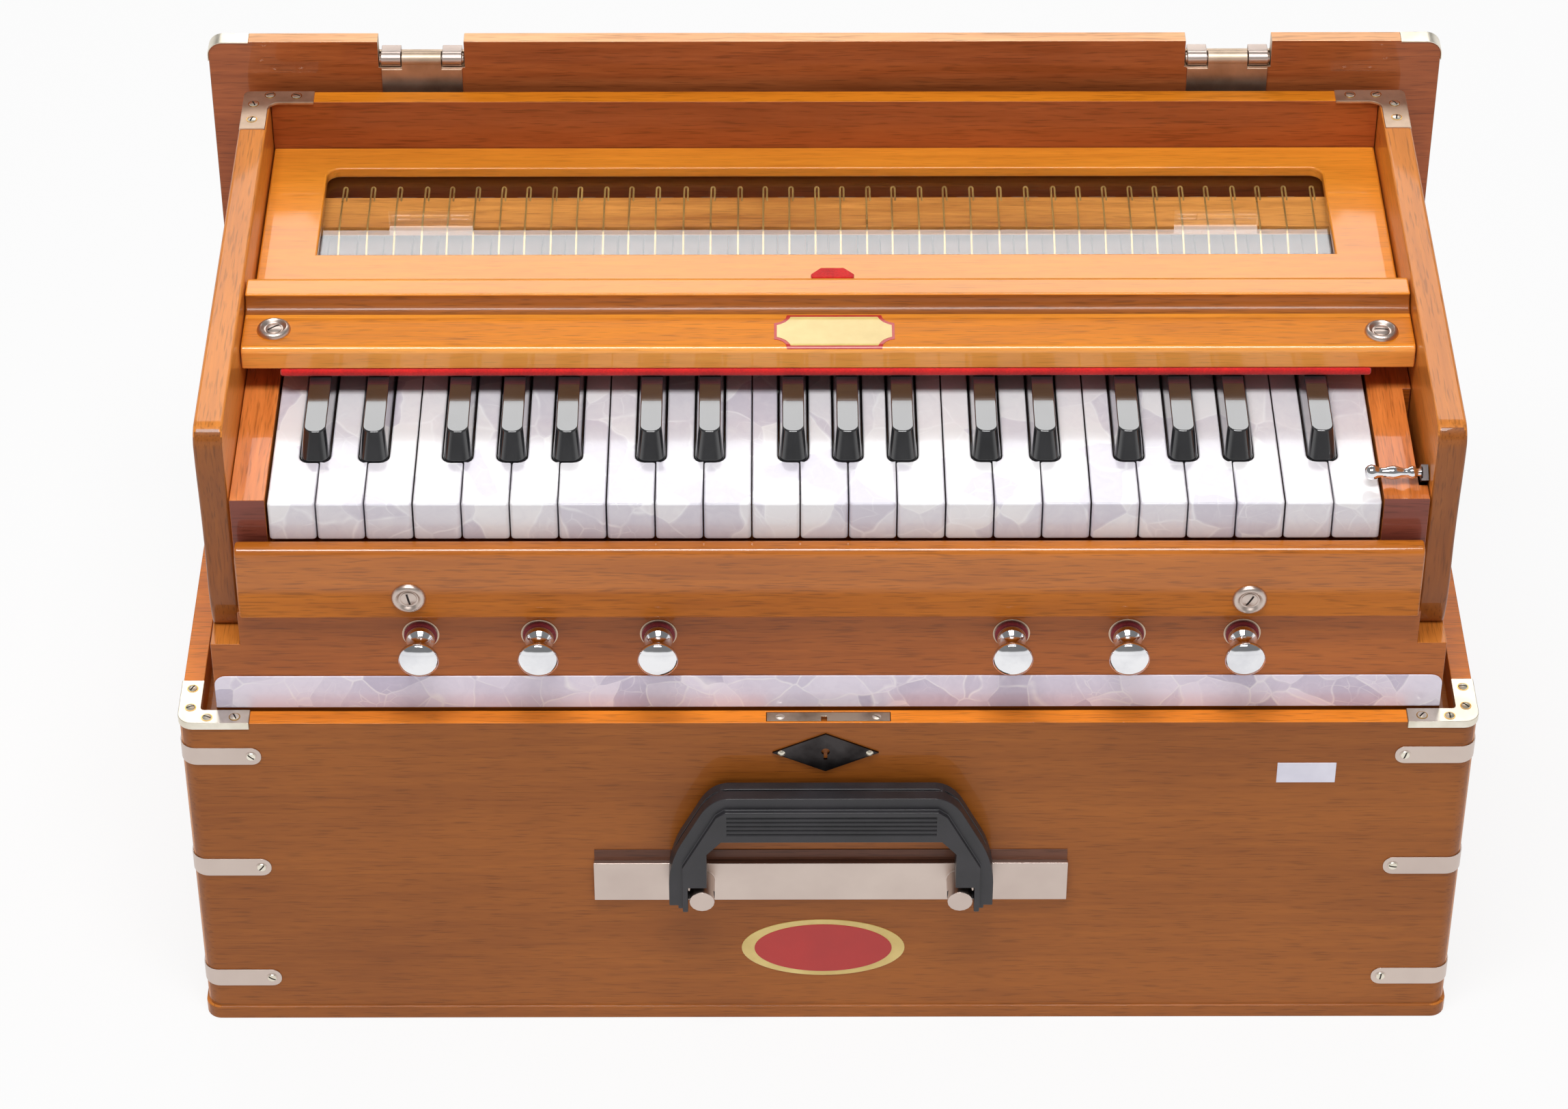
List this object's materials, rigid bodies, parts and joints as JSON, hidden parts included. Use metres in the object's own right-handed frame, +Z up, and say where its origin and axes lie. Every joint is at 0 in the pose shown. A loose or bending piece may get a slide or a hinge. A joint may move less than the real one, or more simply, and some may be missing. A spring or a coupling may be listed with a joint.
{
  "type": "indian harmonium",
  "caption": "Hand-pumped reed organ in a wooden case, with piano keys, pull stops, glazed key cover, rear pumping board and hanging lid.",
  "frame": {"origin": "centre of the base board's underside", "axes": "+X to the player's right, +Y away from the player towards the bellows, +Z up"},
  "size_m": [0.567, 0.3344, 0.3473],
  "materials": {
    "case_wood": "gloss",
    "polished_wood": "gloss",
    "rail_wood": "satin",
    "white_key": "gloss",
    "black_key": "gloss",
    "chrome": "polished",
    "grip_plastic": "satin",
    "window_glass": "clear",
    "bellows_cloth": "matt"
  },
  "bodies": {
    "case": {"outer_case": "case_wood", "chest": "case_wood", "cheek_left": "polished_wood", "cheek_right": "polished_wood", "key_slip": "polished_wood", "name_rail": "polished_wood", "spring_rail": "rail_wood", "handle_plate": "chrome", "bellows_folds": "bellows_cloth"},
    "window": {"window_frame": "polished_wood", "window_glass": "window_glass"},
    "handle": {"handle_grip": "grip_plastic"},
    "lever": {"coupler_lever": "chrome"},
    "pump_board": {"bellows_board": "case_wood"},
    "lid": {"lid": "case_wood"},
    "key_01_body": {"key_01": "white_key"},
    "key_02_body": {"key_02": "black_key"},
    "key_03_body": {"key_03": "white_key"},
    "key_04_body": {"key_04": "black_key"},
    "key_05_body": {"key_05": "white_key"},
    "key_06_body": {"key_06": "white_key"},
    "key_07_body": {"key_07": "black_key"},
    "key_08_body": {"key_08": "white_key"},
    "key_09_body": {"key_09": "black_key"},
    "key_10_body": {"key_10": "white_key"},
    "key_11_body": {"key_11": "black_key"},
    "key_12_body": {"key_12": "white_key"},
    "key_13_body": {"key_13": "white_key"},
    "key_14_body": {"key_14": "black_key"},
    "key_15_body": {"key_15": "white_key"},
    "key_16_body": {"key_16": "black_key"},
    "key_17_body": {"key_17": "white_key"},
    "key_18_body": {"key_18": "white_key"},
    "key_19_body": {"key_19": "black_key"},
    "key_20_body": {"key_20": "white_key"},
    "key_21_body": {"key_21": "black_key"},
    "key_22_body": {"key_22": "white_key"},
    "key_23_body": {"key_23": "black_key"},
    "key_24_body": {"key_24": "white_key"},
    "key_25_body": {"key_25": "white_key"},
    "key_26_body": {"key_26": "black_key"},
    "key_27_body": {"key_27": "white_key"},
    "key_28_body": {"key_28": "black_key"},
    "key_29_body": {"key_29": "white_key"},
    "key_30_body": {"key_30": "white_key"},
    "key_31_body": {"key_31": "black_key"},
    "key_32_body": {"key_32": "white_key"},
    "key_33_body": {"key_33": "black_key"},
    "key_34_body": {"key_34": "white_key"},
    "key_35_body": {"key_35": "black_key"},
    "key_36_body": {"key_36": "white_key"},
    "key_37_body": {"key_37": "white_key"},
    "key_38_body": {"key_38": "black_key"},
    "key_39_body": {"key_39": "white_key"},
    "stop_knob_1_body": {"stop_knob_1": "chrome"},
    "stop_knob_2_body": {"stop_knob_2": "chrome"},
    "stop_knob_3_body": {"stop_knob_3": "chrome"},
    "stop_knob_4_body": {"stop_knob_4": "chrome"},
    "stop_knob_5_body": {"stop_knob_5": "chrome"},
    "stop_knob_6_body": {"stop_knob_6": "chrome"}
  },
  "joints": [
    {"name": "bellows_pump", "type": "hinge", "parent": "case", "child": "pump_board", "pos_m": [0, 0.14375, 0.0073], "axis": [-1, 0, 0], "range_deg": [0, 20], "stiffness_Nm_per_rad": 3, "springref_deg": -14.32, "deforming": ["bellows_folds"]},
    {"name": "lid_hinge", "type": "hinge", "parent": "pump_board", "child": "lid", "pos_m": [0, 0.13845, 0.3368], "axis": [1, 0, 0], "range_deg": [0, 180]},
    {"name": "window_hinge", "type": "hinge", "parent": "case", "child": "window", "pos_m": [0, 0.11995, 0.3], "axis": [-1, 0, 0], "range_deg": [0, 80]},
    {"name": "handle_pivot", "type": "hinge", "parent": "case", "child": "handle", "pos_m": [0.0015, -0.15635, 0.088], "axis": [1, 0, 0], "range_deg": [0, 170]},
    {"name": "lever_pivot", "type": "hinge", "parent": "case", "child": "lever", "pos_m": [0.252, -0.07375, 0.24], "axis": [-1, 0, 0], "range_deg": [0, 50]},
    {"name": "stop_knob_1_pull", "type": "slide", "parent": "case", "child": "stop_knob_1_body", "axis": [0, -1, 0], "range_m": [0, 0.022]},
    {"name": "stop_knob_2_pull", "type": "slide", "parent": "case", "child": "stop_knob_2_body", "axis": [0, -1, 0], "range_m": [0, 0.022]},
    {"name": "stop_knob_3_pull", "type": "slide", "parent": "case", "child": "stop_knob_3_body", "axis": [0, -1, 0], "range_m": [0, 0.022]},
    {"name": "stop_knob_4_pull", "type": "slide", "parent": "case", "child": "stop_knob_4_body", "axis": [0, -1, 0], "range_m": [0, 0.022]},
    {"name": "stop_knob_5_pull", "type": "slide", "parent": "case", "child": "stop_knob_5_body", "axis": [0, -1, 0], "range_m": [0, 0.022]},
    {"name": "stop_knob_6_pull", "type": "slide", "parent": "case", "child": "stop_knob_6_body", "axis": [0, -1, 0], "range_m": [0, 0.022]},
    {"name": "key_01_press", "type": "hinge", "parent": "case", "child": "key_01_body", "pos_m": [0, 0.00625, 0.268], "axis": [1, 0, 0], "range_deg": [0, 2.5], "stiffness_Nm_per_rad": 0.5, "springref_deg": -11.46},
    {"name": "key_02_press", "type": "hinge", "parent": "case", "child": "key_02_body", "pos_m": [0, 0.00625, 0.268], "axis": [1, 0, 0], "range_deg": [0, 2.5], "stiffness_Nm_per_rad": 0.5, "springref_deg": -11.46},
    {"name": "key_03_press", "type": "hinge", "parent": "case", "child": "key_03_body", "pos_m": [0, 0.00625, 0.268], "axis": [1, 0, 0], "range_deg": [0, 2.5], "stiffness_Nm_per_rad": 0.5, "springref_deg": -11.46},
    {"name": "key_04_press", "type": "hinge", "parent": "case", "child": "key_04_body", "pos_m": [0, 0.00625, 0.268], "axis": [1, 0, 0], "range_deg": [0, 2.5], "stiffness_Nm_per_rad": 0.5, "springref_deg": -11.46},
    {"name": "key_05_press", "type": "hinge", "parent": "case", "child": "key_05_body", "pos_m": [0, 0.00625, 0.268], "axis": [1, 0, 0], "range_deg": [0, 2.5], "stiffness_Nm_per_rad": 0.5, "springref_deg": -11.46},
    {"name": "key_06_press", "type": "hinge", "parent": "case", "child": "key_06_body", "pos_m": [0, 0.00625, 0.268], "axis": [1, 0, 0], "range_deg": [0, 2.5], "stiffness_Nm_per_rad": 0.5, "springref_deg": -11.46},
    {"name": "key_07_press", "type": "hinge", "parent": "case", "child": "key_07_body", "pos_m": [0, 0.00625, 0.268], "axis": [1, 0, 0], "range_deg": [0, 2.5], "stiffness_Nm_per_rad": 0.5, "springref_deg": -11.46},
    {"name": "key_08_press", "type": "hinge", "parent": "case", "child": "key_08_body", "pos_m": [0, 0.00625, 0.268], "axis": [1, 0, 0], "range_deg": [0, 2.5], "stiffness_Nm_per_rad": 0.5, "springref_deg": -11.46},
    {"name": "key_09_press", "type": "hinge", "parent": "case", "child": "key_09_body", "pos_m": [0, 0.00625, 0.268], "axis": [1, 0, 0], "range_deg": [0, 2.5], "stiffness_Nm_per_rad": 0.5, "springref_deg": -11.46},
    {"name": "key_10_press", "type": "hinge", "parent": "case", "child": "key_10_body", "pos_m": [0, 0.00625, 0.268], "axis": [1, 0, 0], "range_deg": [0, 2.5], "stiffness_Nm_per_rad": 0.5, "springref_deg": -11.46},
    {"name": "key_11_press", "type": "hinge", "parent": "case", "child": "key_11_body", "pos_m": [0, 0.00625, 0.268], "axis": [1, 0, 0], "range_deg": [0, 2.5], "stiffness_Nm_per_rad": 0.5, "springref_deg": -11.46},
    {"name": "key_12_press", "type": "hinge", "parent": "case", "child": "key_12_body", "pos_m": [0, 0.00625, 0.268], "axis": [1, 0, 0], "range_deg": [0, 2.5], "stiffness_Nm_per_rad": 0.5, "springref_deg": -11.46},
    {"name": "key_13_press", "type": "hinge", "parent": "case", "child": "key_13_body", "pos_m": [0, 0.00625, 0.268], "axis": [1, 0, 0], "range_deg": [0, 2.5], "stiffness_Nm_per_rad": 0.5, "springref_deg": -11.46},
    {"name": "key_14_press", "type": "hinge", "parent": "case", "child": "key_14_body", "pos_m": [0, 0.00625, 0.268], "axis": [1, 0, 0], "range_deg": [0, 2.5], "stiffness_Nm_per_rad": 0.5, "springref_deg": -11.46},
    {"name": "key_15_press", "type": "hinge", "parent": "case", "child": "key_15_body", "pos_m": [0, 0.00625, 0.268], "axis": [1, 0, 0], "range_deg": [0, 2.5], "stiffness_Nm_per_rad": 0.5, "springref_deg": -11.46},
    {"name": "key_16_press", "type": "hinge", "parent": "case", "child": "key_16_body", "pos_m": [0, 0.00625, 0.268], "axis": [1, 0, 0], "range_deg": [0, 2.5], "stiffness_Nm_per_rad": 0.5, "springref_deg": -11.46},
    {"name": "key_17_press", "type": "hinge", "parent": "case", "child": "key_17_body", "pos_m": [0, 0.00625, 0.268], "axis": [1, 0, 0], "range_deg": [0, 2.5], "stiffness_Nm_per_rad": 0.5, "springref_deg": -11.46},
    {"name": "key_18_press", "type": "hinge", "parent": "case", "child": "key_18_body", "pos_m": [0, 0.00625, 0.268], "axis": [1, 0, 0], "range_deg": [0, 2.5], "stiffness_Nm_per_rad": 0.5, "springref_deg": -11.46},
    {"name": "key_19_press", "type": "hinge", "parent": "case", "child": "key_19_body", "pos_m": [0, 0.00625, 0.268], "axis": [1, 0, 0], "range_deg": [0, 2.5], "stiffness_Nm_per_rad": 0.5, "springref_deg": -11.46},
    {"name": "key_20_press", "type": "hinge", "parent": "case", "child": "key_20_body", "pos_m": [0, 0.00625, 0.268], "axis": [1, 0, 0], "range_deg": [0, 2.5], "stiffness_Nm_per_rad": 0.5, "springref_deg": -11.46},
    {"name": "key_21_press", "type": "hinge", "parent": "case", "child": "key_21_body", "pos_m": [0, 0.00625, 0.268], "axis": [1, 0, 0], "range_deg": [0, 2.5], "stiffness_Nm_per_rad": 0.5, "springref_deg": -11.46},
    {"name": "key_22_press", "type": "hinge", "parent": "case", "child": "key_22_body", "pos_m": [0, 0.00625, 0.268], "axis": [1, 0, 0], "range_deg": [0, 2.5], "stiffness_Nm_per_rad": 0.5, "springref_deg": -11.46},
    {"name": "key_23_press", "type": "hinge", "parent": "case", "child": "key_23_body", "pos_m": [0, 0.00625, 0.268], "axis": [1, 0, 0], "range_deg": [0, 2.5], "stiffness_Nm_per_rad": 0.5, "springref_deg": -11.46},
    {"name": "key_24_press", "type": "hinge", "parent": "case", "child": "key_24_body", "pos_m": [0, 0.00625, 0.268], "axis": [1, 0, 0], "range_deg": [0, 2.5], "stiffness_Nm_per_rad": 0.5, "springref_deg": -11.46},
    {"name": "key_25_press", "type": "hinge", "parent": "case", "child": "key_25_body", "pos_m": [0, 0.00625, 0.268], "axis": [1, 0, 0], "range_deg": [0, 2.5], "stiffness_Nm_per_rad": 0.5, "springref_deg": -11.46},
    {"name": "key_26_press", "type": "hinge", "parent": "case", "child": "key_26_body", "pos_m": [0, 0.00625, 0.268], "axis": [1, 0, 0], "range_deg": [0, 2.5], "stiffness_Nm_per_rad": 0.5, "springref_deg": -11.46},
    {"name": "key_27_press", "type": "hinge", "parent": "case", "child": "key_27_body", "pos_m": [0, 0.00625, 0.268], "axis": [1, 0, 0], "range_deg": [0, 2.5], "stiffness_Nm_per_rad": 0.5, "springref_deg": -11.46},
    {"name": "key_28_press", "type": "hinge", "parent": "case", "child": "key_28_body", "pos_m": [0, 0.00625, 0.268], "axis": [1, 0, 0], "range_deg": [0, 2.5], "stiffness_Nm_per_rad": 0.5, "springref_deg": -11.46},
    {"name": "key_29_press", "type": "hinge", "parent": "case", "child": "key_29_body", "pos_m": [0, 0.00625, 0.268], "axis": [1, 0, 0], "range_deg": [0, 2.5], "stiffness_Nm_per_rad": 0.5, "springref_deg": -11.46},
    {"name": "key_30_press", "type": "hinge", "parent": "case", "child": "key_30_body", "pos_m": [0, 0.00625, 0.268], "axis": [1, 0, 0], "range_deg": [0, 2.5], "stiffness_Nm_per_rad": 0.5, "springref_deg": -11.46},
    {"name": "key_31_press", "type": "hinge", "parent": "case", "child": "key_31_body", "pos_m": [0, 0.00625, 0.268], "axis": [1, 0, 0], "range_deg": [0, 2.5], "stiffness_Nm_per_rad": 0.5, "springref_deg": -11.46},
    {"name": "key_32_press", "type": "hinge", "parent": "case", "child": "key_32_body", "pos_m": [0, 0.00625, 0.268], "axis": [1, 0, 0], "range_deg": [0, 2.5], "stiffness_Nm_per_rad": 0.5, "springref_deg": -11.46},
    {"name": "key_33_press", "type": "hinge", "parent": "case", "child": "key_33_body", "pos_m": [0, 0.00625, 0.268], "axis": [1, 0, 0], "range_deg": [0, 2.5], "stiffness_Nm_per_rad": 0.5, "springref_deg": -11.46},
    {"name": "key_34_press", "type": "hinge", "parent": "case", "child": "key_34_body", "pos_m": [0, 0.00625, 0.268], "axis": [1, 0, 0], "range_deg": [0, 2.5], "stiffness_Nm_per_rad": 0.5, "springref_deg": -11.46},
    {"name": "key_35_press", "type": "hinge", "parent": "case", "child": "key_35_body", "pos_m": [0, 0.00625, 0.268], "axis": [1, 0, 0], "range_deg": [0, 2.5], "stiffness_Nm_per_rad": 0.5, "springref_deg": -11.46},
    {"name": "key_36_press", "type": "hinge", "parent": "case", "child": "key_36_body", "pos_m": [0, 0.00625, 0.268], "axis": [1, 0, 0], "range_deg": [0, 2.5], "stiffness_Nm_per_rad": 0.5, "springref_deg": -11.46},
    {"name": "key_37_press", "type": "hinge", "parent": "case", "child": "key_37_body", "pos_m": [0, 0.00625, 0.268], "axis": [1, 0, 0], "range_deg": [0, 2.5], "stiffness_Nm_per_rad": 0.5, "springref_deg": -11.46},
    {"name": "key_38_press", "type": "hinge", "parent": "case", "child": "key_38_body", "pos_m": [0, 0.00625, 0.268], "axis": [1, 0, 0], "range_deg": [0, 2.5], "stiffness_Nm_per_rad": 0.5, "springref_deg": -11.46},
    {"name": "key_39_press", "type": "hinge", "parent": "case", "child": "key_39_body", "pos_m": [0, 0.00625, 0.268], "axis": [1, 0, 0], "range_deg": [0, 2.5], "stiffness_Nm_per_rad": 0.5, "springref_deg": -11.46}
  ]
}
